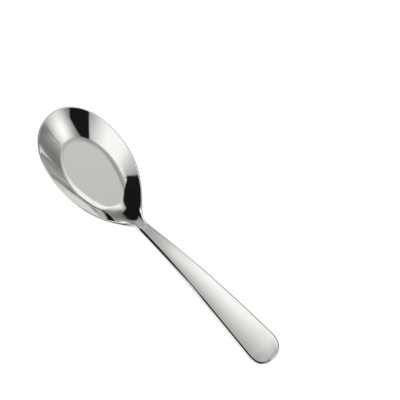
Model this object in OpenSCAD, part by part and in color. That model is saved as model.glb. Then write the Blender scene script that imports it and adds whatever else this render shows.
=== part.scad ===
// Flat-bottom table spoon: an egg-shaped bowl with a flat oval floor and flared walls,
// and a handle that rises from a narrow neck and widens to a rounded end.
// Lengths are measured along the spoon from the front of the bowl, heights from the table.
// The origin is the centre of the flat base, on its underside, and the handle points to +X.

/* [Overall] */
// Length from the front of the bowl to the end of the handle
spoon_l = 170; // [150:1:200]

/* [Bowl] */
// Width across the rim at the widest place
bowl_w = 44.4; // [38:0.2:50]
// Distance from the front of the bowl to its widest place
bowl_widest = 30.7; // [24:0.1:36]
// Height of the level part of the rim
bowl_h = 9; // [7.6:0.1:13]
// Fullness of the bowl's front, where 2 is an ellipse
nose_power = 2.15; // [1.8:0.05:2.6]
// Fullness of the bowl's sides towards the neck
tail_power = 2.25; // [1.8:0.05:2.6]
// Distance from the front of the bowl over which the rim stays level
rim_level = 47.6; // [40:0.2:54]
// Angle at which the rim comes down to the neck
rim_fall = 10.7; // [6:0.1:16]
// Softness of the bend where the rim starts to come down
rim_blend = 0.45; // [0.2:0.05:1.5]
// Thickness of the rounded rim
rim_t = 1; // [0.7:0.05:1.6]

/* [Floor] */
// Distance from the front of the bowl to the centre of its floor
floor_pos = 38.2; // [35:0.2:41]
// Length of the oval floor, between the walls
floor_l = 41.8; // [36:0.2:46]
// Width of the oval floor, between the walls
floor_w = 26.6; // [22:0.2:29]
// Thickness of the floor
floor_t = 1.3; // [1:0.05:2]
// Hollow of the walls, where 0 is straight
wall_sag = 0.2; // [0:0.05:0.4]
// Inner radius between the floor and the walls
floor_r = 8; // [3:0.5:10]
// Radius between the floor and the ramp up to the neck
ramp_r = 7; // [4:0.5:16]
// Steepness of the ramp at its foot, where 1 is straight
ramp_start = 0.4; // [0.2:0.05:1]
// Distance before the neck at which the ramp meets the handle's slope
ramp_lip = 3.8; // [2:0.1:6]
// Depth that is ground off the underside to make the base flat
grind = 0.15; // [0.05:0.05:0.3]

/* [Neck] */
// Distance from the front of the bowl to the neck
neck_pos = 75.4; // [72:0.2:82]
// Width of the neck
neck_w = 6.6; // [5:0.1:10]
// Thickness of the neck
neck_t = 2.9; // [2:0.1:3.6]
// Height of the neck's top face
neck_h = 7.2; // [5.6:0.1:8]
// Softness of the shoulders between the bowl and the neck
waist_blend = 0.95; // [0.4:0.05:1.4]
// Softness of the dip between the rim and the handle
dip_blend = 0.3; // [0.2:0.05:1]

/* [Handle] */
// Width of the handle where its rounded end begins
handle_w = 19; // [14:0.2:24]
// Thickness of the handle at its end
handle_t = 2.5; // [1.8:0.1:3.2]
// Outward swell of the handle's sides, where 0 is straight
handle_bulge = 0.15; // [0:0.05:0.4]
// Angle at which the handle rises from the neck
handle_rise = 23; // [14:0.5:28]
// Angle of the handle's outer part
handle_pitch = 5.1; // [0:0.1:9]
// Height of the handle's top face at its end
tip_h = 25.2; // [18:0.2:28]
// Softness of the bend between the rise and the outer part
knee_blend = 5.1; // [1:0.1:6]
// Height of the crown across the handle's top face
handle_crown = 0.5; // [0:0.1:1]
// Length of the rounded end
end_l = 10.6; // [7:0.2:14]
// Squareness of the rounded end, where 2 is an ellipse
end_power = 2.2; // [2:0.05:3]

/* [Hidden] */
steel = [0.79, 0.79, 0.77];

// Number of steps round the edge, along the walls, round the fillets and across the neck
edge_n = 6;
wall_n = 5;
fillet_n = 6;
cross_n = 6;
// Number of stations on one side of the bowl's front and tail, the handle and its end
nose_n = 24;
tail_n = 24;
shaft_n = 30;
end_n = 14;

tail_l = neck_pos - bowl_widest;
end_pos = spoon_l - end_l;
floor_rear = floor_pos + floor_l / 2;
waist = neck_w / 2 - waist_blend * waist_blend / (neck_w / 2);

function mix(a, b, t) = a + (b - a) * t;
function clamp(t) = max(0, min(1, t));
function ease(t) = clamp(t) * clamp(t) * (3 - 2 * clamp(t));
function soft_max(a, b, k) = (a + b + sqrt((a - b) * (a - b) + 4 * k * k)) / 2;
function soft_min(a, b, k) = (a + b - sqrt((a - b) * (a - b) + 4 * k * k)) / 2;
function unit(v) = v / norm(v);

// Half-width of the outline at distance s from the front
function nose(s) =
    bowl_w / 2 * pow(max(0, 1 - pow(max(0, 1 - s / bowl_widest), nose_power)), 1 / nose_power);
function tail(s) = bowl_w / 2 * (1 - pow((s - bowl_widest) / tail_l, tail_power));
function shaft(s) =
    let (t = max(0, (s - neck_pos) / (end_pos - neck_pos)))
    mix(waist, handle_w / 2, t + handle_bulge * t * (1 - t));
function rounding(s) =
    s <= end_pos ? 1
    : pow(max(0, 1 - pow(min(1, (s - end_pos) / end_l), end_power)), 1 / end_power);
function half_w(s) =
    s <= bowl_widest ? nose(s)
    : let (blend = waist_blend * ease(2 * (s - bowl_widest) / tail_l))
        soft_max(tail(s), shaft(s), blend) * rounding(s);

// Height of the top edge at distance s from the front
function rim_line(s) = soft_min(bowl_h, bowl_h - tan(rim_fall) * (s - rim_level), rim_blend);
function rise_line(s) = neck_h + tan(handle_rise) * (s - neck_pos);
function outer_line(s) = tip_h - tan(handle_pitch) * (spoon_l - s);
function arch(s) = soft_min(rise_line(s), outer_line(s), knee_blend);
function handle_line(s) =
    arch(s) + mix(neck_h - arch(neck_pos), tip_h - arch(spoon_l), (s - neck_pos) / (spoon_l - neck_pos));
function edge_h(s) = soft_max(rim_line(s), handle_line(s), dip_blend);

// Slope of the handle's top face at the neck
neck_slope = (handle_line(neck_pos + 0.01) - handle_line(neck_pos)) / 0.01;

// How far the bowl has turned into the neck, from 0 at the floor's rear end to 1 at the neck
function turned(s) = ease((s - floor_rear) / (neck_pos - floor_rear));

// Thickness of the edge
function edge_t(s) =
    s < neck_pos ? mix(rim_t, neck_t, turned(s))
    : mix(neck_t, handle_t, ease((s - neck_pos) / (end_pos - neck_pos)));

// Stations along one side, from the front to the neck and from the neck to the end
bowl_s = concat(
    [for (i = [0 : nose_n - 1]) bowl_widest * (1 - pow(cos(90 * i / nose_n), 2 / nose_power))],
    [for (i = [0 : tail_n]) mix(bowl_widest, neck_pos, i / tail_n)]);
handle_s = concat(
    [for (i = [0 : shaft_n - 1]) mix(neck_pos, end_pos, i / shaft_n)],
    [for (i = [0 : end_n]) end_pos + end_l * pow(sin(90 * i / end_n), 2 / end_power)]);
bowl_last = len(bowl_s) - 1;
handle_last = len(handle_s) - 1;

// Outline point of a list of stations, mirrored past the front or the end of the spoon
function spot(list, i) =
    i < 0 ? [list[-i], -half_w(list[-i])]
    : i >= len(list)
        ? let (m = 2 * (len(list) - 1) - i) [list[m], -half_w(list[m])]
        : [list[i], half_w(list[i])];

// Outward direction of the outline at a station; at the neck it is square to the spoon
function outward(list, i) =
    list[i] == neck_pos ? [0, 1]
    : let (d = spot(list, i + 1) - spot(list, i - 1)) unit([-d[1], d[0]]);

// How far a wall has swung from square to the rim, which is 0, towards the floor's centre, which is 1
function swung(s) = mix(0.25, 1, ease((s - rim_level) / (neck_pos - rim_level)));

// Point of the oval floor's border from which the wall rises to an end
function floor_foot(end, out, swing) =
    let (
        square = atan2(floor_w * out[1], floor_l * out[0]),
        straight = atan2(end[1] / floor_w, end[0] / floor_l),
        turn = mix(square, straight, swing))
    [floor_l / 2 * cos(turn), floor_w / 2 * sin(turn)];

// Middle of the rounded edge at a station, relative to the floor's centre
function edge_mid(list, i) =
    let (
        s = list[i],
        r = edge_t(s) / 2,
        p = spot(list, i) - outward(list, i) * r)
    [p[0] - floor_pos, p[1], edge_h(s) - r];

// Lean of the wall behind the rim, which fades out at the neck
function lean(i) =
    let (
        m = edge_mid(bowl_s, i),
        foot = floor_foot(m, outward(bowl_s, i), swung(bowl_s[i])),
        run = ([m[0], m[1]] - foot) * outward(bowl_s, i))
    atan2((m[2] - floor_t) * (1 + wall_sag), run) * (1 - turned(bowl_s[i]));

// Points round the edge at a station, from the top face to the underside
function edge_ring(list, i, tilt) =
    let (m = edge_mid(list, i), n = outward(list, i), r = edge_t(list[i]) / 2)
    [for (k = [0 : edge_n])
        let (a = 90 + tilt - 180 * k / edge_n)
        m + r * [cos(a) * n[0], cos(a) * n[1], sin(a)]];

function flip(points) = [for (p = points) [p[0], -p[1], p[2]]];

// Rings of the bowl's edge, from the neck's left side round the front to its right side
bowl_left = [for (i = [bowl_last : -1 : 0]) edge_ring(bowl_s, i, lean(i))];
bowl_edge = concat(bowl_left, [for (i = [bowl_last - 1 : -1 : 0]) flip(bowl_left[i])]);
rim_count = len(bowl_edge);

// Points across the neck between the rounded sides, from right to left
neck_x = neck_pos - floor_pos;
neck_top = edge_h(neck_pos);
neck_flat = neck_w / 2 - neck_t / 2;
function neck_row(z) =
    [for (i = [1 : cross_n - 1]) [neck_x, mix(-neck_flat, neck_flat, i / cross_n), z]];

// Ends of the rays on the top face and on the underside
top_ends = concat([for (ring = bowl_edge) ring[0]], neck_row(neck_top));
low_ends = concat([for (ring = bowl_edge) ring[edge_n]], neck_row(neck_top - neck_t));
ray_count = len(top_ends);

// Station and outward direction of each ray
ray_s = concat(
    [for (i = [bowl_last : -1 : 0]) bowl_s[i]], [for (i = [1 : bowl_last]) bowl_s[i]],
    [for (i = [1 : cross_n - 1]) neck_pos]);
ray_out = concat(
    [for (i = [bowl_last : -1 : 0]) outward(bowl_s, i)],
    [for (i = [1 : bowl_last]) let (n = outward(bowl_s, i)) [n[0], -n[1]]],
    [for (i = [1 : cross_n - 1]) [0, 1]]);

// Share of the rise at share t of a ray's run: hollow walls, which turn into the ramp at the neck.
// The ramp starts gently, is steepest before the neck and meets the handle at the handle's slope.
function climb(t, turn, last, steep) =
    let (
        u = t / last,
        at_lip = 1 - steep * (1 - last),
        ramp = t > last ? at_lip + steep * (t - last)
            : ramp_start * at_lip * u * (1 - u) * (1 - u)
                + at_lip * u * u * (3 - 2 * u) - steep * last * u * u * (1 - u))
    mix(t - wall_sag * t * (1 - t), ramp, turn);

// Points along a ray from its end to the flat: the wall or ramp, then a fillet into the flat
function ray(end, j, base, r) =
    let (
        turn = turned(ray_s[j]),
        foot = floor_foot(end, ray_out[j], swung(ray_s[j])),
        way = [end[0], end[1]] - foot,
        run = norm(way),
        rise = end[2] - base,
        last = 1 - max(0, min((ramp_lip - neck_x + end[0]) / run, 0.5)),
        steep = mix(1, neck_slope * run / rise, turn),
        start = mix(1 - wall_sag, ramp_start * (1 - steep * (1 - last)) / last, turn),
        slope = atan2(rise * start, run),
        fillet = mix(r, r + ramp_r - floor_r, turn),
        cut = min(fillet * tan(slope / 2), 0.4 * run),
        low = cut * cos(slope) / run,
        lip = foot + way * low,
        lip_z = base + rise * climb(low, turn, last, steep),
        flat = foot - cut * unit([foot[0] / floor_l / floor_l, foot[1] / floor_w / floor_w]))
    concat(
        [for (k = [1 : wall_n])
            let (t = mix(1, low, k / wall_n), q = foot + way * t)
            [q[0], q[1], base + rise * climb(t, turn, last, steep)]],
        [for (k = [1 : fillet_n])
            let (
                t = 1 - k / fillet_n,
                q = t * t * lip + 2 * t * (1 - t) * foot + (1 - t) * (1 - t) * flat)
            [q[0], q[1], k == fillet_n ? base : mix(base, lip_z, t * t)]]);

inner = [for (j = [0 : ray_count - 1]) ray(top_ends[j], j, floor_t, floor_r)];
outer = [for (j = [0 : ray_count - 1]) ray(low_ends[j], j, -grind, floor_r + floor_t + grind)];
depth = wall_n + fillet_n;

// Two triangles between neighbouring points of two rows
function patch(a, b, c, d) = [[a, b, c], [a, c, d]];
function join(lists) = [for (list = lists) each list];

module bowl_blank() {
    // Order of the points: edge rings, neck rows, inner rays, outer rays
    ring_n = edge_n + 1;
    row_n = cross_n - 1;
    row_0 = rim_count * ring_n;
    inner_0 = row_0 + 2 * row_n;
    outer_0 = inner_0 + ray_count * depth;
    function top(j) = j < rim_count ? j * ring_n : row_0 + j - rim_count;
    function low(j) = j < rim_count ? j * ring_n + edge_n : row_0 + row_n + j - rim_count;
    function in(j, k) = k == 0 ? top(j) : inner_0 + j * depth + k - 1;
    function out(j, k) = k == 0 ? low(j) : outer_0 + j * depth + k - 1;
    points = concat(
        join(bowl_edge), neck_row(neck_top), neck_row(neck_top - neck_t), join(inner), join(outer));
    edge_faces = [for (j = [0 : rim_count - 2], k = [0 : edge_n - 1])
        each patch(j * ring_n + k, (j + 1) * ring_n + k, (j + 1) * ring_n + k + 1, j * ring_n + k + 1)];
    inner_faces = [for (j = [0 : ray_count - 1], k = [0 : depth - 1])
        let (n = (j + 1) % ray_count) each patch(in(j, k), in(j, k + 1), in(n, k + 1), in(n, k))];
    outer_faces = [for (j = [0 : ray_count - 1], k = [0 : depth - 1])
        let (n = (j + 1) % ray_count) each patch(out(j, k), out(n, k), out(n, k + 1), out(j, k + 1))];
    floor_face = [for (j = [ray_count - 1 : -1 : 0]) in(j, depth)];
    base_face = [for (j = [0 : ray_count - 1]) out(j, depth)];
    right = (rim_count - 1) * ring_n;
    neck_faces = concat(
        [for (j = [rim_count - 1 : ray_count - 1])
            let (n = (j + 1) % ray_count) each patch(top(j), top(n), low(n), low(j))],
        [for (k = [1 : edge_n - 1]) [0, k, k + 1]],
        [for (k = [1 : edge_n - 1]) [right, right + k + 1, right + k]]);
    polyhedron(
        points, concat(edge_faces, inner_faces, outer_faces, neck_faces, [floor_face, base_face]));
}

// The bowl, with its underside ground flat
module bowl() {
    color(steel)
        intersection() {
            bowl_blank();
            translate([-spoon_l, -spoon_l, 0])
                cube([2 * spoon_l, 2 * spoon_l, spoon_l]);
        }
}

// Top face of the handle at a station: points from the right side to the left, with the crown
function handle_row(i, level) =
    let (
        s = handle_s[i],
        m = edge_mid(handle_s, i),
        r = edge_t(s) / 2,
        top = level > 0,
        fade = ease((s - neck_pos) / (end_pos - neck_pos) * 4),
        crown = top ? handle_crown * m[1] / (handle_w / 2) * fade : 0)
    [for (k = [1 : cross_n - 1])
        let (u = 2 * k / cross_n - 1) [m[0], u * m[1], m[2] + level * r + crown * (1 - u * u)]];

handle_left = [for (i = [0 : handle_last]) edge_ring(handle_s, i, 0)];
handle_edge = concat(handle_left, [for (i = [handle_last - 1 : -1 : 0]) flip(handle_left[i])]);
side_count = len(handle_edge);

module handle() {
    // Order of the points: edge rings, top rows, rows of the underside
    ring_n = edge_n + 1;
    row_n = cross_n - 1;
    top_0 = side_count * ring_n;
    low_0 = top_0 + handle_last * row_n;
    function top(i, k) =
        k == 0 ? (side_count - 1 - i) * ring_n : k == cross_n ? i * ring_n : top_0 + i * row_n + k - 1;
    function low(i, k) =
        k == 0 ? (side_count - 1 - i) * ring_n + edge_n
        : k == cross_n ? i * ring_n + edge_n : low_0 + i * row_n + k - 1;
    tip = handle_last * ring_n;
    points = concat(
        join(handle_edge),
        join([for (i = [0 : handle_last - 1]) handle_row(i, 1)]),
        join([for (i = [0 : handle_last - 1]) handle_row(i, -1)]));
    edge_faces = [for (j = [0 : side_count - 2], k = [0 : edge_n - 1])
        each patch(j * ring_n + k, j * ring_n + k + 1, (j + 1) * ring_n + k + 1, (j + 1) * ring_n + k)];
    top_faces = [for (i = [0 : handle_last - 2], k = [0 : cross_n - 1])
        each patch(top(i, k), top(i, k + 1), top(i + 1, k + 1), top(i + 1, k))];
    low_faces = [for (i = [0 : handle_last - 2], k = [0 : cross_n - 1])
        each patch(low(i, k), low(i + 1, k), low(i + 1, k + 1), low(i, k + 1))];
    tip_faces = [for (k = [0 : cross_n - 1])
        each [[top(handle_last - 1, k), top(handle_last - 1, k + 1), tip],
            [low(handle_last - 1, k), tip + edge_n, low(handle_last - 1, k + 1)]]];
    right = (side_count - 1) * ring_n;
    neck_faces = concat(
        [for (k = [0 : cross_n - 1]) each patch(top(0, k), low(0, k), low(0, k + 1), top(0, k + 1))],
        [for (k = [1 : edge_n - 1]) [0, k + 1, k]],
        [for (k = [1 : edge_n - 1]) [right, right + k, right + k + 1]]);
    color(steel)
        polyhedron(points, concat(edge_faces, top_faces, low_faces, tip_faces, neck_faces));
}

bowl();
handle();
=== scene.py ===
"""Polished flat-bottom spoon on a pale studio floor, laid out as an add-on and run as a script."""

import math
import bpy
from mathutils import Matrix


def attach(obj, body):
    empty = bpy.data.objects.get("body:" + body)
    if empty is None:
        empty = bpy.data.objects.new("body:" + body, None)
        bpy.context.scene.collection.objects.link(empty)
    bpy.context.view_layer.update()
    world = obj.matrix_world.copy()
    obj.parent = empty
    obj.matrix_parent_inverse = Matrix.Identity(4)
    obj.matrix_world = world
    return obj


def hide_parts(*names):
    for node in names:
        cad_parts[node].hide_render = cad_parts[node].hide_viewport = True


bl_info = {
    "name": "Flat-Bottom Spoon",
    "version": (1, 0, 0),
    "blender": (4, 5, 0),
    "location": "View3D > Sidebar > Spoon",
    "description": "Polished steel spoon with a flat oval floor, its studio, light and camera",
    "category": "Object",
}

import bpy
import numpy as np
from bpy.props import FloatProperty, FloatVectorProperty, PointerProperty
from bpy.types import Operator, Panel, PropertyGroup
from mathutils import Matrix, Vector

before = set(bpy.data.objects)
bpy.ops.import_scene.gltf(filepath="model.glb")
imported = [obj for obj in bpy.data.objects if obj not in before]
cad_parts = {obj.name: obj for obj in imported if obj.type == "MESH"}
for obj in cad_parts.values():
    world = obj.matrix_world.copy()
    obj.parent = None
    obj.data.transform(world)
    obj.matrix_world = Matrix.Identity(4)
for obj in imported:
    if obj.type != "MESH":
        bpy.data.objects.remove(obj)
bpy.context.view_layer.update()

MM = 0.001

# Steps round the edge, along the walls, round the fillets and across the neck
EDGE_STEPS = 16
WALL_STEPS = 22
FILLET_STEPS = 16
CROSS_STEPS = 28
# Stations on one side of the bowl's front, its tail, the handle and the handle's end
NOSE_STATIONS = 110
TAIL_STATIONS = 120
SHAFT_STATIONS = 190
END_STATIONS = 60
# Softening where the ramp meets the walls: rounds, and the pull of each
SOFT_ROUNDS = 400
SOFT_PULL = 0.5
# Share by which the walls at the front of the bowl point to the floor's centre
FRONT_SWING = 0.25
# Most that a fillet takes of the run from the floor's border to the rim
FILLET_SHARE = 0.4
# Last ring on the flat, as a share of the fillet's inner border
FLAT_RING = 0.96
# Share of the handle over which its crown grows
CROWN_RUN = 0.25
# Small step along the spoon that gives its slope at the neck, in metres
SLOPE_STEP = 1e-5
# Wear round the edge, from the top face to the underside
EDGE_WEAR = np.sin(np.pi * np.arange(EDGE_STEPS + 1) / EDGE_STEPS)


def length(name, description, millimetres):
    return FloatProperty(
        name=name, description=description, default=millimetres * MM,
        unit="LENGTH", precision=4)


def angle(name, description, degrees):
    return FloatProperty(
        name=name, description=description, default=math.radians(degrees),
        subtype="ANGLE")


def ratio(name, description, value):
    return FloatProperty(name=name, description=description, default=value)


def tint(name, description, value):
    return FloatVectorProperty(
        name=name, description=description, default=value, size=3,
        min=0.0, max=1.0, subtype="COLOR")


class SpoonSizes(PropertyGroup):
    """Sizes of the spoon, measured along it from the front of the bowl"""

    spoon_l: length("Length", "From the front of the bowl to the end of the handle", 170)
    bowl_w: length("Bowl Width", "Across the rim at the widest place", 44.4)
    bowl_widest: length("Widest Place", "From the front of the bowl to its widest place", 30.7)
    bowl_h: length("Rim Height", "Height of the level part of the rim", 9)
    nose_power: ratio("Front Fullness", "2 gives the bowl an elliptical front", 2.15)
    tail_power: ratio("Tail Fullness", "Fullness of the bowl's sides towards the neck", 2.25)
    rim_level: length("Level Rim", "Distance over which the rim stays level", 47.6)
    rim_fall: angle("Rim Fall", "Angle at which the rim comes down to the neck", 10.7)
    rim_blend: length("Rim Bend", "Softness of the bend where the rim starts to fall", 0.45)
    rim_t: length("Rim Thickness", "Thickness of the rounded rim", 1)
    floor_pos: length("Floor Place", "From the front of the bowl to the floor's centre", 38.2)
    floor_l: length("Floor Length", "Length of the oval floor between the walls", 41.8)
    floor_w: length("Floor Width", "Width of the oval floor between the walls", 26.6)
    floor_t: length("Floor Thickness", "Thickness of the floor", 1.3)
    wall_sag: ratio("Wall Sag", "Hollow of the walls, where 0 is straight", 0.2)
    floor_r: length("Floor Fillet", "Inner radius between the floor and the walls", 8)
    ramp_r: length("Ramp Fillet", "Radius between the floor and the ramp to the neck", 7)
    ramp_start: ratio("Ramp Start", "Steepness of the ramp at its foot, where 1 is straight", 0.4)
    ramp_lip: length(
        "Ramp Lip", "Distance before the neck at which the ramp meets the handle's slope", 3.8)
    neck_pos: length("Neck Place", "From the front of the bowl to the neck", 75.4)
    neck_w: length("Neck Width", "Width of the neck", 6.6)
    neck_t: length("Neck Thickness", "Thickness of the neck", 2.9)
    neck_h: length("Neck Height", "Height of the neck's top face", 7.2)
    waist_blend: length("Shoulder Bend", "Softness of the shoulders at the neck", 0.95)
    dip_blend: length("Dip Bend", "Softness of the dip between the rim and the handle", 0.3)
    handle_w: length("Handle Width", "Width where the rounded end begins", 19)
    handle_t: length("Handle Thickness", "Thickness of the handle at its end", 2.5)
    handle_bulge: ratio("Handle Swell", "Outward swell of the handle's sides", 0.15)
    handle_rise: angle("Handle Rise", "Angle at which the handle rises from the neck", 23)
    handle_pitch: angle("Handle Pitch", "Angle of the handle's outer part", 5.1)
    tip_h: length("End Height", "Height of the top face at the handle's end", 25.2)
    knee_blend: length("Knee Bend", "Softness of the bend above the rise", 5.1)
    handle_crown: length("Handle Crown", "Height of the crown across the handle", 0.5)
    end_l: length("Rounded End", "Length of the handle's rounded end", 10.6)
    end_power: ratio("End Squareness", "2 gives the handle an elliptical end", 2.2)


class SpoonLook(PropertyGroup):
    """Finish of the steel and colours of the studio"""

    steel: tint("Steel", "Colour of the polished steel", (0.72, 0.72, 0.7))
    worn_steel: tint("Worn Steel", "Colour of scratches and worn edges", (0.78, 0.78, 0.77))
    polish: ratio("Polish", "Roughness of the polished steel", 0.035)
    paper: tint("Floor", "Share of light that the pale studio floor scatters", (0.25, 0.25, 0.25))
    floor_glow: ratio("Floor Glow", "White that the floor shows by itself", 0.9)


def ease(t):
    t = np.clip(t, 0.0, 1.0)
    return t * t * (3.0 - 2.0 * t)


def soft_max(a, b, k):
    return (a + b + np.sqrt((a - b) ** 2 + 4.0 * k * k)) / 2.0


def soft_min(a, b, k):
    return (a + b - np.sqrt((a - b) ** 2 + 4.0 * k * k)) / 2.0


class SpoonForm:
    """Outline, edge heights and thicknesses of the spoon at distance s from the bowl's front"""

    def __init__(self, sizes):
        self.z = sizes
        self.end_pos = sizes.spoon_l - sizes.end_l
        self.floor_rear = sizes.floor_pos + sizes.floor_l / 2
        self.waist = sizes.neck_w / 2 - sizes.waist_blend ** 2 / (sizes.neck_w / 2)
        self.lift_neck = sizes.neck_h - self.arch(sizes.neck_pos)
        self.lift_tip = sizes.tip_h - self.arch(sizes.spoon_l)
        near = np.array([sizes.neck_pos, sizes.neck_pos + SLOPE_STEP])
        self.neck_slope = float(np.diff(self.handle_line(near))[0] / SLOPE_STEP)

    def half_width(self, s):
        z = self.z
        front = np.clip(1.0 - s / z.bowl_widest, 0.0, None) ** z.nose_power
        nose = z.bowl_w / 2 * np.clip(1.0 - front, 0.0, 1.0) ** (1.0 / z.nose_power)
        back = np.clip(s - z.bowl_widest, 0.0, None) / (z.neck_pos - z.bowl_widest)
        tail = z.bowl_w / 2 * (1.0 - back ** z.tail_power)
        t = np.clip((s - z.neck_pos) / (self.end_pos - z.neck_pos), 0.0, None)
        shaft = self.waist + (z.handle_w / 2 - self.waist) * (t + z.handle_bulge * t * (1.0 - t))
        last = np.clip((s - self.end_pos) / z.end_l, 0.0, 1.0) ** z.end_power
        end = np.clip(1.0 - last, 0.0, 1.0) ** (1.0 / z.end_power)
        blend = z.waist_blend * ease(2.0 * back)
        return np.where(s <= z.bowl_widest, nose, soft_max(tail, shaft, blend) * end)

    def edge_height(self, s):
        z = self.z
        fall = z.bowl_h - math.tan(z.rim_fall) * (s - z.rim_level)
        rim = soft_min(np.full_like(s, z.bowl_h), fall, z.rim_blend)
        return soft_max(rim, self.handle_line(s), z.dip_blend)

    def arch(self, s):
        """Arch of the handle before it is set to the heights of the neck and the end"""
        z = self.z
        rise = z.neck_h + math.tan(z.handle_rise) * (s - z.neck_pos)
        outer = z.tip_h - math.tan(z.handle_pitch) * (z.spoon_l - s)
        return soft_min(rise, outer, z.knee_blend)

    def handle_line(self, s):
        z = self.z
        along = (s - z.neck_pos) / (z.spoon_l - z.neck_pos)
        return self.arch(s) + self.lift_neck + (self.lift_tip - self.lift_neck) * along

    def turned(self, s):
        return ease((s - self.floor_rear) / (self.z.neck_pos - self.floor_rear))

    def thickness(self, s):
        z = self.z
        bowl = z.rim_t + (z.neck_t - z.rim_t) * self.turned(s)
        along = ease((s - z.neck_pos) / (self.end_pos - z.neck_pos))
        return np.where(s < z.neck_pos, bowl, z.neck_t + (z.handle_t - z.neck_t) * along)

    def swung(self, s):
        """0 where a wall stands square to the rim, 1 where it points to the floor's centre"""
        z = self.z
        back = ease((s - z.rim_level) / (z.neck_pos - z.rim_level))
        return FRONT_SWING + (1.0 - FRONT_SWING) * back

    def floor_foot(self, ends, out, swing):
        """Points of the oval floor's border from which the walls rise to their ends"""
        a, b = self.z.floor_l / 2, self.z.floor_w / 2
        square = np.arctan2(b * out[:, 1], a * out[:, 0])
        straight = np.arctan2(ends[:, 1] / b, ends[:, 0] / a)
        turn = square + (straight - square) * swing
        return np.stack([a * np.cos(turn), b * np.sin(turn)], 1)

    def bowl_stations(self):
        z = self.z
        a = np.arange(NOSE_STATIONS) / NOSE_STATIONS * math.pi / 2
        nose = z.bowl_widest * (1.0 - np.cos(a) ** (2.0 / z.nose_power))
        return np.concatenate([nose, np.linspace(z.bowl_widest, z.neck_pos, TAIL_STATIONS + 1)])

    def handle_stations(self):
        z = self.z
        shaft = np.linspace(z.neck_pos, self.end_pos, SHAFT_STATIONS + 1)[:-1]
        a = np.arange(END_STATIONS + 1) / END_STATIONS * math.pi / 2
        return np.concatenate([shaft, self.end_pos + z.end_l * np.sin(a) ** (2.0 / z.end_power)])

    def outline(self, s):
        """Outline points, outward directions and the middle of the rounded edge at the stations"""
        z = self.z
        spots = np.stack([s, self.half_width(s)], 1)
        mirror = np.array([1.0, -1.0])
        ext = np.concatenate([[spots[1] * mirror], spots, [spots[-2] * mirror]])
        step = ext[2:] - ext[:-2]
        out = np.stack([-step[:, 1], step[:, 0]], 1)
        out /= np.linalg.norm(out, axis=1)[:, None]
        out[np.isclose(s, z.neck_pos, atol=1e-7)] = (0.0, 1.0)
        r = self.thickness(s) / 2
        flat = spots - out * r[:, None]
        mid = np.stack([flat[:, 0] - z.floor_pos, flat[:, 1], self.edge_height(s) - r], 1)
        return out, mid, r

    def edge_rings(self, s, lean):
        """Points round the edge at each station, from the top face to the underside"""
        out, mid, r = self.outline(s)
        a = math.pi / 2 + lean[:, None] - math.pi * np.arange(EDGE_STEPS + 1)[None] / EDGE_STEPS
        ring = np.empty((len(s), EDGE_STEPS + 1, 3))
        ring[..., :2] = mid[:, None, :2] + (r[:, None] * np.cos(a))[..., None] * out[:, None]
        ring[..., 2] = mid[:, None, 2] + r[:, None] * np.sin(a)
        return ring

    def wall_lean(self, s):
        out, mid, _ = self.outline(s)
        foot = self.floor_foot(mid, out, self.swung(s))
        run = np.sum((mid[:, :2] - foot) * out, axis=1)
        steep = (mid[:, 2] - self.z.floor_t) * (1.0 + self.z.wall_sag)
        return np.arctan2(steep, run) * (1.0 - self.turned(s))

    def rays(self, ends, foot, base, radius, turn):
        """Points along each ray from its end down the wall and round the fillet to the flat"""
        z = self.z
        rise = ends[:, 2] - base
        run = np.linalg.norm(ends[:, :2] - foot, axis=1)
        way = (ends[:, :2] - foot) / run[:, None]
        square = foot / np.array([z.floor_l, z.floor_w]) ** 2
        square /= np.linalg.norm(square, axis=1)[:, None]
        to_neck = z.neck_pos - z.floor_pos - ends[:, 0]
        last = 1.0 - np.clip((z.ramp_lip - to_neck) / run, 0.0, 0.5)
        steep = 1.0 + (self.neck_slope * run / rise - 1.0) * turn
        at_lip = 1.0 - steep * (1.0 - last)
        start = z.ramp_start * at_lip

        def climb(t):
            """Share of the rise at share t of the run, on a hollow wall or an S-shaped ramp"""
            u = t / last
            ramp = start * (u - 2 * u * u + u ** 3) + at_lip * (3 * u * u - 2 * u ** 3)
            ramp = ramp + steep * last * (u ** 3 - u * u)
            ramp = np.where(t < last, ramp, at_lip + steep * (t - last))
            wall = t - z.wall_sag * t * (1.0 - t)
            return wall + (ramp - wall) * turn

        first = 1.0 - z.wall_sag
        slope = np.arctan2(rise * (first + (start / last - first) * turn), run)
        fillet = radius + (z.ramp_r - z.floor_r) * turn
        cut = np.minimum(fillet * np.tan(slope / 2), FILLET_SHARE * run)
        lip = cut * np.cos(slope) / run
        rows = []
        for k in range(1, WALL_STEPS + 1):
            t = 1.0 + (lip - 1.0) * k / WALL_STEPS
            rows.append((foot + way * (run * t)[:, None], base + rise * climb(t)))
        lip, lip_z = rows[-1]
        inner = foot - square * cut[:, None]
        for k in range(1, FILLET_STEPS + 1):
            t = 1.0 - k / FILLET_STEPS
            u = 1.0 - t
            flat = t * t * lip + 2.0 * t * u * foot + u * u * inner
            rows.append((flat, t * t * lip_z + (1.0 - t * t) * base))
        rows.append((inner * FLAT_RING, np.full_like(run, base)))
        return np.stack([np.concatenate([flat, h[:, None]], 1) for flat, h in rows], 1)


def flip(points):
    return points * np.array([1.0, -1.0, 1.0])


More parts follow.
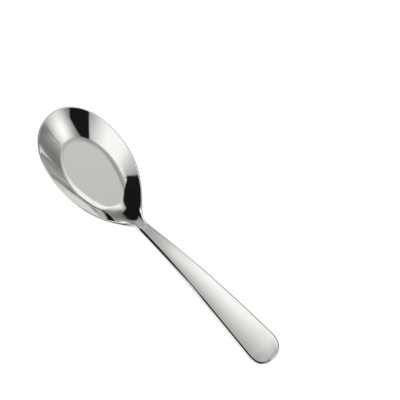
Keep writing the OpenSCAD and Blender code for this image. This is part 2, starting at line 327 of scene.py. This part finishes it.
class Shell:
    """Vertices and faces of one piece, gathered block by block"""

    def __init__(self):
        self.points = []
        self.wear = []
        self.count = 0
        self.faces = []
        self.caps = []

    def add(self, block, wear=0.0):
        block = np.asarray(block, dtype=float)
        self.wear.append(np.broadcast_to(wear, block.shape[:-1]).ravel())
        ids = np.arange(self.count, self.count + block[..., 0].size).reshape(block.shape[:-1])
        self.points.append(block.reshape(-1, 3))
        self.count += ids.size
        return ids

    def grid(self, ids, close=False, turn=False):
        """Faces between the neighbouring rows of a grid of points"""
        rows = ids.shape[0] if close else ids.shape[0] - 1
        for i in range(rows):
            a, b = ids[i], ids[(i + 1) % ids.shape[0]]
            for k in range(ids.shape[1] - 1):
                quad = [a[k], b[k], b[k + 1], a[k + 1]]
                quad = [q for n, q in enumerate(quad) if q != quad[n - 1]]
                if len(set(quad)) > 2:
                    self.faces.append(quad[::-1] if turn else quad)

    def vertices(self):
        return np.concatenate(self.points)


def corner_normals(points, faces):
    """Area-weighted normals at the points"""
    total = np.zeros_like(points)
    for size in {len(f) for f in faces}:
        block = np.array([f for f in faces if len(f) == size])
        p = points[block]
        nxt = np.roll(p, -1, axis=1)
        area = np.sum(np.cross(p - p[:, :1], nxt - p[:, :1]), axis=1)
        for k in range(size):
            np.add.at(total, block[:, k], area)
    return total


def softened(grid, turn):
    """Rays with the creases between the ramp and the walls rounded off"""
    depth = np.arange(1, grid.shape[1] + 1) / grid.shape[1]
    reach = (SOFT_PULL * turn[:, None] * 4.0 * depth * (1.0 - depth))[..., None]
    for _ in range(SOFT_ROUNDS):
        middle = (np.roll(grid, 1, axis=0) + np.roll(grid, -1, axis=0)) / 2
        grid = grid + (middle - grid) * reach
    return grid


def bowl_shell(form):
    z = form.z
    s = form.bowl_stations()
    right = flip(form.edge_rings(s, form.wall_lean(s)))
    edge = np.concatenate([flip(right[::-1]), right[1:]])
    there = np.concatenate([s[::-1], s[1:], np.full(CROSS_STEPS - 1, z.neck_pos)])
    turn, swing = form.turned(there), form.swung(there)
    out = form.outline(s)[0]
    neck_out = np.tile((0.0, 1.0), (CROSS_STEPS - 1, 1))
    out = np.concatenate([out[::-1], out[1:] * (1.0, -1.0), neck_out])
    shell = Shell()
    edge_ids = shell.add(edge, EDGE_WEAR)
    t = np.arange(1, CROSS_STEPS)[:, None] / CROSS_STEPS
    top_row = edge[-1, 0] + (edge[0, 0] - edge[-1, 0]) * t
    low_row = edge[-1, -1] + (edge[0, -1] - edge[-1, -1]) * t
    top_ids, low_ids = shell.add(top_row), shell.add(low_row)
    top_ends = np.concatenate([edge[:, 0], top_row])
    low_ends = np.concatenate([edge[:, -1], low_row])
    top_foot, low_foot = (form.floor_foot(ends, out, swing) for ends in (top_ends, low_ends))
    inner = form.rays(top_ends, top_foot, z.floor_t, z.floor_r, turn)
    outer = form.rays(low_ends, low_foot, 0.0, z.floor_r + z.floor_t, turn)
    inner, outer = (shell.add(softened(grid, turn)) for grid in (inner, outer))
    shell.grid(edge_ids, turn=True)
    top_edge = np.concatenate([edge_ids[:, 0], top_ids])
    low_edge = np.concatenate([edge_ids[:, -1], low_ids])
    shell.grid(np.concatenate([top_edge[:, None], inner], 1), close=True)
    shell.grid(np.concatenate([low_edge[:, None], outer], 1), close=True, turn=True)
    shell.faces.append(list(inner[:, -1]))
    shell.faces.append(list(outer[::-1, -1]))
    seam = np.concatenate([edge_ids[0], low_ids[::-1], edge_ids[-1, ::-1], top_ids])
    shell.caps.append(list(seam[::-1]))
    return shell, seam


def handle_shell(form):
    z = form.z
    s = form.handle_stations()
    left = form.edge_rings(s, np.zeros_like(s))
    edge = np.concatenate([left, flip(left[::-1][1:])])
    shell = Shell()
    edge_ids = shell.add(edge, EDGE_WEAR)
    last = len(s) - 1
    u = 2.0 * np.arange(1, CROSS_STEPS) / CROSS_STEPS - 1.0
    _, mid, r = form.outline(s)
    swell = ease((s - z.neck_pos) / (form.end_pos - z.neck_pos) / CROWN_RUN)
    crown = z.handle_crown * mid[:, 1] / (z.handle_w / 2) * swell

    def rows(level, rise):
        block = np.empty((last, CROSS_STEPS - 1, 3))
        block[..., 0] = mid[:last, None, 0]
        block[..., 1] = mid[:last, None, 1] * u
        flat = mid[:last, None, 2] + level * r[:last, None]
        block[..., 2] = flat + rise[:last, None] * (1.0 - u * u)
        return block

    top_ids = shell.add(rows(1.0, crown))
    low_ids = shell.add(rows(-1.0, np.zeros_like(crown)))
    right = edge_ids[::-1]

    def across(ids, k):
        grid = np.concatenate([right[:last, k:k + 1], ids, edge_ids[:last, k:k + 1]], 1)
        tip = np.full((1, grid.shape[1]), edge_ids[last, k])
        return np.concatenate([grid, tip])

    shell.grid(edge_ids)
    shell.grid(across(top_ids, 0))
    shell.grid(across(low_ids, EDGE_STEPS), turn=True)
    seam = np.concatenate([edge_ids[0], low_ids[0][::-1], edge_ids[-1, ::-1], top_ids[0]])
    shell.caps.append(list(seam))
    return shell, seam


def spoon_pieces(sizes):
    """Both pieces, with normals that run on from one to the other across the neck"""
    form = SpoonForm(sizes)
    made = {}
    for name, build in (("bowl", bowl_shell), ("handle", handle_shell)):
        shell, seam = build(form)
        points = shell.vertices()
        made[name] = [shell, seam, points, corner_normals(points, shell.faces)]
    shared = made["bowl"][3][made["bowl"][1]] + made["handle"][3][made["handle"][1]]
    for name in made:
        made[name][3][made[name][1]] = shared
    return made


def piece_object(name, made):
    shell, _, points, normals = made
    mesh = bpy.data.meshes.new(name)
    mesh.from_pydata(points.tolist(), [], [[int(i) for i in f] for f in shell.faces + shell.caps])
    mesh.validate()
    mesh.polygons.foreach_set("use_smooth", [True] * len(mesh.polygons))
    normals = normals / np.linalg.norm(normals, axis=1)[:, None]
    mesh.normals_split_custom_set_from_vertices(normals.tolist())
    worn = mesh.attributes.new("edge_wear", "FLOAT", "POINT")
    worn.data.foreach_set("value", np.concatenate(shell.wear).astype(np.float32))
    obj = bpy.data.objects.new(name, mesh)
    bpy.context.scene.collection.objects.link(obj)
    return obj


def math_node(tree, operation, *values):
    """Result of a sum on plain numbers and on other nodes' results"""
    node = tree.nodes.new("ShaderNodeMath")
    node.operation = operation
    for socket, value in zip(node.inputs, values):
        if isinstance(value, (int, float)):
            socket.default_value = value
        else:
            tree.links.new(value, socket)
    return node.outputs[0]


# Finish of the steel: how much of the noise makes scratches, roughness that clouds in the polish,
# scratches and wear add, tone of the scratches, and heights in thousandths of a millimetre
SCRATCH_CUT = (0.64, 0.76)
CLOUD_ROUGH = 0.02
SCRATCH_ROUGH = 0.05
WORN_ROUGH = 0.06
SCRATCH_TONE = 0.3
WAVE_HEIGHT = 5.0
SCRATCH_DEPTH = 0.3


def polished_steel(look):
    """Mirror-polished stainless steel: cloudy polish, hairline scratches, waves and worn edges"""
    name = "polished_steel"
    if name in bpy.data.materials:
        return bpy.data.materials[name]
    mat = bpy.data.materials.new(name)
    mat.use_nodes = True
    tree = mat.node_tree
    bsdf = tree.nodes["Principled BSDF"]
    bsdf.inputs["Metallic"].default_value = 1.0
    place = tree.nodes.new("ShaderNodeTexCoord").outputs["Object"]

    def grain(size, turn, detail):
        """Noise whose grains have the given size in millimetres, turned about the upright axis"""
        mapping = tree.nodes.new("ShaderNodeMapping")
        mapping.vector_type = "TEXTURE"
        mapping.inputs["Rotation"].default_value = (0.0, 0.0, math.radians(turn))
        mapping.inputs["Scale"].default_value = [v * MM for v in size]
        noise = tree.nodes.new("ShaderNodeTexNoise")
        noise.inputs["Scale"].default_value = 1.0
        noise.inputs["Detail"].default_value = detail
        tree.links.new(place, mapping.inputs["Vector"])
        tree.links.new(mapping.outputs[0], noise.inputs["Vector"])
        return noise.outputs[0]

    def hairlines(size, turn):
        cut = tree.nodes.new("ShaderNodeMapRange")
        cut.inputs["From Min"].default_value, cut.inputs["From Max"].default_value = SCRATCH_CUT
        tree.links.new(grain(size, turn, 2.0), cut.inputs["Value"])
        return cut.outputs[0]

    lengthwise, crosswise = hairlines((30, 0.3, 0.3), 6), hairlines((0.3, 18, 0.3), 20)
    scratches = math_node(tree, "MAXIMUM", lengthwise, crosswise)
    cloud = grain((18, 18, 18), 0, 3.0)
    edge = tree.nodes.new("ShaderNodeAttribute")
    edge.attribute_name = "edge_wear"
    worn = math_node(tree, "MULTIPLY", edge.outputs["Fac"], grain((5, 5, 5), 0, 2.0))

    rough = math_node(tree, "MULTIPLY_ADD", cloud, CLOUD_ROUGH, look.polish - CLOUD_ROUGH / 2)
    rough = math_node(tree, "MULTIPLY_ADD", scratches, SCRATCH_ROUGH, rough)
    rough = math_node(tree, "MULTIPLY_ADD", worn, WORN_ROUGH, rough)
    tree.links.new(rough, bsdf.inputs["Roughness"])

    tone = tree.nodes.new("ShaderNodeMix")
    tone.data_type = "RGBA"
    factor, plain, marked = (socket for socket in tone.inputs if socket.enabled)
    plain.default_value = (*look.steel, 1.0)
    marked.default_value = (*look.worn_steel, 1.0)
    tree.links.new(math_node(tree, "MULTIPLY_ADD", scratches, SCRATCH_TONE, worn), factor)
    result, = (socket for socket in tone.outputs if socket.enabled)
    tree.links.new(result, bsdf.inputs["Base Color"])

    height = math_node(tree, "MULTIPLY", grain((16, 16, 16), 0, 1.0), WAVE_HEIGHT)
    height = math_node(tree, "MULTIPLY_ADD", scratches, -SCRATCH_DEPTH, height)
    bump = tree.nodes.new("ShaderNodeBump")
    bump.inputs["Strength"].default_value = 1.0
    bump.inputs["Distance"].default_value = 0.001 * MM
    tree.links.new(height, bump.inputs["Height"])
    tree.links.new(bump.outputs[0], bsdf.inputs["Normal"])
    return mat


def dress(obj, node):
    obj.data.materials.append(polished_steel(bpy.context.scene.spoon_look))
    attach(obj, "root")
    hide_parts(node)


class SPOON_OT_bowl(Operator):
    """Make the bowl with its oval floor, flared walls and rounded rim"""

    bl_idname = "spoon.bowl"
    bl_label = "Bowl"

    def execute(self, context):
        made = spoon_pieces(context.scene.spoon_sizes)["bowl"]
        dress(piece_object("spoon_bowl", made), "bowl")
        return {"FINISHED"}


class SPOON_OT_handle(Operator):
    """Make the handle from the neck to its rounded end"""

    bl_idname = "spoon.handle"
    bl_label = "Handle"

    def execute(self, context):
        made = spoon_pieces(context.scene.spoon_sizes)["handle"]
        dress(piece_object("spoon_handle", made), "handle")
        return {"FINISHED"}


# Camera of the photograph: place in metres, viewing and upward directions, focal length and image
# width in pixels, and the sensor's width in millimetres
CAMERA_AT = (-0.10675, -0.42745, 1.14906)
CAMERA_AXIS = (0.1244, 0.3713, -0.9201)
CAMERA_UP = (-0.7533, 0.6390, 0.1560)
FOCAL_PIXELS = 2374.4
PHOTO_PIXELS = 400.0
SENSOR_WIDTH = 36.0
# Half the side of the studio floor, in metres
FLOOR_REACH = 30.0


def add_camera():
    data = bpy.data.cameras.new("camera")
    data.sensor_fit = "HORIZONTAL"
    data.sensor_width = SENSOR_WIDTH
    data.lens = FOCAL_PIXELS / PHOTO_PIXELS * SENSOR_WIDTH
    data.clip_start = 0.01
    data.clip_end = 50.0
    cam = bpy.data.objects.new("camera", data)
    back = -Vector(CAMERA_AXIS).normalized()
    right = Vector(CAMERA_UP).cross(back).normalized()
    up = back.cross(right)
    turn = Matrix((right, up, back)).transposed().to_4x4()
    cam.matrix_world = Matrix.Translation(CAMERA_AT) @ turn
    bpy.context.scene.collection.objects.link(cam)
    bpy.context.scene.camera = cam


def add_floor(look):
    """Pale floor that glows white to the eye and in reflections, and keeps a faint shadow"""
    mesh = bpy.data.meshes.new("studio_floor")
    quarters = ((-1, -1), (1, -1), (1, 1), (-1, 1))
    corners = [(x * FLOOR_REACH, y * FLOOR_REACH, 0.0) for x, y in quarters]
    mesh.from_pydata(corners, [], [range(len(corners))])
    mat = bpy.data.materials.new("floor_paper")
    mat.use_nodes = True
    tree = mat.node_tree
    bsdf = tree.nodes["Principled BSDF"]
    bsdf.inputs["Base Color"].default_value = (*look.paper, 1.0)
    bsdf.inputs["Roughness"].default_value = 1.0
    bsdf.inputs["Specular IOR Level"].default_value = 0.0
    bsdf.inputs["Emission Color"].default_value = (1.0, 1.0, 1.0, 1.0)
    path = tree.nodes.new("ShaderNodeLightPath")
    seen = math_node(tree, "ADD", path.outputs["Is Camera Ray"], path.outputs["Is Glossy Ray"])
    seen = math_node(tree, "ADD", seen, path.outputs["Is Transmission Ray"])
    glow = math_node(tree, "MULTIPLY", seen, look.floor_glow)
    tree.links.new(glow, bsdf.inputs["Emission Strength"])
    mesh.materials.append(mat)
    floor = bpy.data.objects.new("studio_floor", mesh)
    bpy.context.scene.collection.objects.link(floor)


# Black cards that hang beside the handle: name, height, share of light that they hide, outline, and
# where they fade in along X and Y, from clear to full. Lengths are in millimetres.
CARDS = (
    ("near", 66, 1.0,
     ((56, 2.7), (121, -3.7), (134, -4.2), (140, -3.2), (145, 0), (148, 5), (149, 10), (149, 20),
      (182, 20), (182, -96), (56, -96)),
     (("X", 56, 76), ("X", 182, 150), ("Y", -96, -46), ("Y", 20, 4))),
    ("far", 40, 0.75,
     ((45, 26), (45, 56), (156, 56), (156, 20), (125, 20)),
     (("X", 45, 70), ("X", 156, 140), ("Y", 56, 42))),
)


def add_cards():
    """Black cards that only reflections see, which draw the dark lines along the handle's edges"""
    for name, height, most, outline, fades in CARDS:
        mesh = bpy.data.meshes.new(f"{name}_card")
        corners = [(x * MM, y * MM, height * MM) for x, y in outline]
        mesh.from_pydata(corners, [], [range(len(corners))])
        mesh.materials.append(card_black(name, most, fades))
        card = bpy.data.objects.new(f"{name}_card", mesh)
        card.visible_camera = False
        card.visible_diffuse = False
        card.visible_shadow = False
        bpy.context.scene.collection.objects.link(card)


def card_black(name, most, fades):
    """Dull black that thins out towards a card's outer sides"""
    mat = bpy.data.materials.new(f"{name}_card_black")
    mat.use_nodes = True
    tree = mat.node_tree
    bsdf = tree.nodes["Principled BSDF"]
    bsdf.inputs["Base Color"].default_value = (0.01, 0.01, 0.01, 1.0)
    bsdf.inputs["Roughness"].default_value = 1.0
    bsdf.inputs["Specular IOR Level"].default_value = 0.0
    place = tree.nodes.new("ShaderNodeSeparateXYZ")
    tree.links.new(tree.nodes.new("ShaderNodeNewGeometry").outputs["Position"], place.inputs[0])
    cover = most
    for axis, clear, full in fades:
        fade = tree.nodes.new("ShaderNodeMapRange")
        fade.interpolation_type = "SMOOTHSTEP"
        fade.inputs["From Min"].default_value = clear * MM
        fade.inputs["From Max"].default_value = full * MM
        tree.links.new(place.outputs[axis], fade.inputs["Value"])
        cover = math_node(tree, "MULTIPLY", fade.outputs["Result"], cover)
    tree.links.new(cover, bsdf.inputs["Alpha"])
    return mat


def panel_group():
    """Node group: lays one soft-edged rectangular panel over the light that is already there"""
    group = bpy.data.node_groups.new("studio_panel", "ShaderNodeTree")
    face = group.interface
    for name in ("Chart", "Centre", "Half Size", "Softness"):
        face.new_socket(name, in_out="INPUT", socket_type="NodeSocketVector")
    for name in ("Turn", "Level", "Under"):
        face.new_socket(name, in_out="INPUT", socket_type="NodeSocketFloat")
    face.new_socket("Light", in_out="OUTPUT", socket_type="NodeSocketFloat")
    given = group.nodes.new("NodeGroupInput").outputs
    made = group.nodes.new("NodeGroupOutput").inputs

    def vector_node(operation, *values):
        node = group.nodes.new("ShaderNodeVectorMath")
        node.operation = operation
        for socket, value in zip(node.inputs, values):
            group.links.new(value, socket)
        return node.outputs[0]

    spin = group.nodes.new("ShaderNodeVectorRotate")
    spin.rotation_type = "Z_AXIS"
    spin.invert = True
    group.links.new(vector_node("SUBTRACT", given["Chart"], given["Centre"]), spin.inputs["Vector"])
    group.links.new(given["Turn"], spin.inputs["Angle"])
    place = vector_node("ABSOLUTE", spin.outputs[0])
    outer = vector_node("ADD", given["Half Size"], given["Softness"])
    inner = vector_node("SUBTRACT", given["Half Size"], given["Softness"])
    split = []
    for value in (place, outer, inner):
        node = group.nodes.new("ShaderNodeSeparateXYZ")
        group.links.new(value, node.inputs[0])
        split.append(node.outputs)
    masks = []
    for axis in (0, 1):
        node = group.nodes.new("ShaderNodeMapRange")
        node.interpolation_type = "SMOOTHSTEP"
        group.links.new(split[0][axis], node.inputs["Value"])
        group.links.new(split[1][axis], node.inputs["From Min"])
        group.links.new(split[2][axis], node.inputs["From Max"])
        masks.append(node.outputs[0])
    mask = math_node(group, "MULTIPLY", *masks)
    change = math_node(group, "SUBTRACT", given["Level"], given["Under"])
    light = math_node(group, "MULTIPLY_ADD", change, mask, given["Under"])
    group.links.new(light, made["Light"])
    return group


# Panels and flags round the spoon, laid one over the other: chart, centre, half size and edge
# softness in degrees, turn in degrees, and light level. On the dome chart the middle is straight
# up and the distance from it is the angle from there. On the wall chart x is the angle round the
# spoon from its handle and y is the angle above the floor.
STUDIO_BASE = 0.25
STUDIO_PANELS = (
    ("ceiling", "dome", (26, 23), (23, 23.5), (3.3, 19), 0, 0.61),
    ("overhead", "dome", (-13, 41.5), (16, 26), (7, 22), 0, 1.42),
    ("far_box", "dome", (-1, 52), (14, 21), (14, 3.5), 0, 1.2),
    ("far_wall", "dome", (8, 98), (59, 17), (5, 8.7), 0, 0.6),
    ("front_wall", "dome", (-35, 55), (13, 25), (14, 16), 0, 0.22),
    ("end_box", "dome", (50, 17.4), (10, 14), (11.8, 15.8), 0, 1.45),
    ("near_box", "dome", (6, -56.5), (24.4, 33.3), (18, 14), 0, 1.29),
    ("wedge", "dome", (45.8, -28.5), (13, 18.5), (1, 1.5), 25, 0.012),
    ("camera", "dome", (0, -9), (17, 7), (3, 4), 0, 0.5),
    ("side_flag", "dome", (-32.7, -35), (14, 44), (1.2, 2), -13, 0.012),
    ("front_flag", "dome", (-62.1, 1.1), (29.5, 44.3), (0.6, 6), 0, 0.01),
    ("end_line", "dome", (48.5, 39), (6, 0.5), (2, 0.4), 11, 0.1),
    ("horizon", "wall", (0, -4), (200, 9), (5, 4), 0, 0.95),
)


def add_world():
    """Studio light by direction: soft boxes, dark flags and a white horizon"""
    world = bpy.data.worlds.new("studio")
    world.use_nodes = True
    tree = world.node_tree
    ray = tree.nodes.new("ShaderNodeTexCoord").outputs["Generated"]
    split = tree.nodes.new("ShaderNodeSeparateXYZ")
    tree.links.new(ray, split.inputs[0])
    x, y, z = split.outputs
    from_top = math_node(tree, "DEGREES", math_node(tree, "ARCCOSINE", z))
    around = math_node(tree, "ARCTAN2", y, x)
    charts = {}
    for name, values in (
            ("dome", (math_node(tree, "MULTIPLY", from_top, math_node(tree, "COSINE", around)),
                      math_node(tree, "MULTIPLY", from_top, math_node(tree, "SINE", around)))),
            ("wall", (math_node(tree, "DEGREES", around),
                      math_node(tree, "SUBTRACT", 90.0, from_top)))):
        node = tree.nodes.new("ShaderNodeCombineXYZ")
        for socket, value in zip(node.inputs, values):
            tree.links.new(value, socket)
        charts[name] = node.outputs[0]
    group = panel_group()
    light = None
    for name, chart, centre, half, soft, turn, level in STUDIO_PANELS:
        node = tree.nodes.new("ShaderNodeGroup")
        node.node_tree = group
        node.name = name
        tree.links.new(charts[chart], node.inputs["Chart"])
        for socket, pair in (("Centre", centre), ("Half Size", half), ("Softness", soft)):
            node.inputs[socket].default_value = (*pair, 0.0)
        node.inputs["Turn"].default_value = math.radians(turn)
        node.inputs["Level"].default_value = level
        node.inputs["Under"].default_value = STUDIO_BASE
        if light is not None:
            tree.links.new(light, node.inputs["Under"])
        light = node.outputs["Light"]
    tree.links.new(light, tree.nodes["Background"].inputs["Strength"])
    tree.nodes["Background"].inputs["Color"].default_value = (1.0, 1.0, 1.0, 1.0)
    bpy.context.scene.world = world


class SPOON_OT_stage(Operator):
    """Make the studio floor, its light and the camera"""

    bl_idname = "spoon.stage"
    bl_label = "Stage"

    def execute(self, context):
        look = context.scene.spoon_look
        add_floor(look)
        add_cards()
        add_world()
        add_camera()
        context.scene.view_settings.view_transform = "Standard"
        return {"FINISHED"}


class SPOON_PT_panel(Panel):
    bl_idname = "SPOON_PT_panel"
    bl_label = "Flat-Bottom Spoon"
    bl_space_type = "VIEW_3D"
    bl_region_type = "UI"
    bl_category = "Spoon"

    def draw(self, context):
        column = self.layout.column(align=True)
        for operator in (SPOON_OT_bowl, SPOON_OT_handle, SPOON_OT_stage):
            column.operator(operator.bl_idname)
        for group in (context.scene.spoon_sizes, context.scene.spoon_look):
            box = self.layout.box()
            for key in group.bl_rna.properties.keys():
                if key not in {"rna_type", "name"}:
                    box.prop(group, key)


CLASSES = (SpoonSizes, SpoonLook, SPOON_OT_bowl, SPOON_OT_handle, SPOON_OT_stage, SPOON_PT_panel)


def register():
    for cls in CLASSES:
        bpy.utils.register_class(cls)
    bpy.types.Scene.spoon_sizes = PointerProperty(type=SpoonSizes)
    bpy.types.Scene.spoon_look = PointerProperty(type=SpoonLook)


def unregister():
    del bpy.types.Scene.spoon_look
    del bpy.types.Scene.spoon_sizes
    for cls in reversed(CLASSES):
        bpy.utils.unregister_class(cls)


def main():
    register()
    bpy.ops.spoon.bowl()
    bpy.ops.spoon.handle()
    bpy.ops.spoon.stage()


if __name__ == "__main__":
    main()
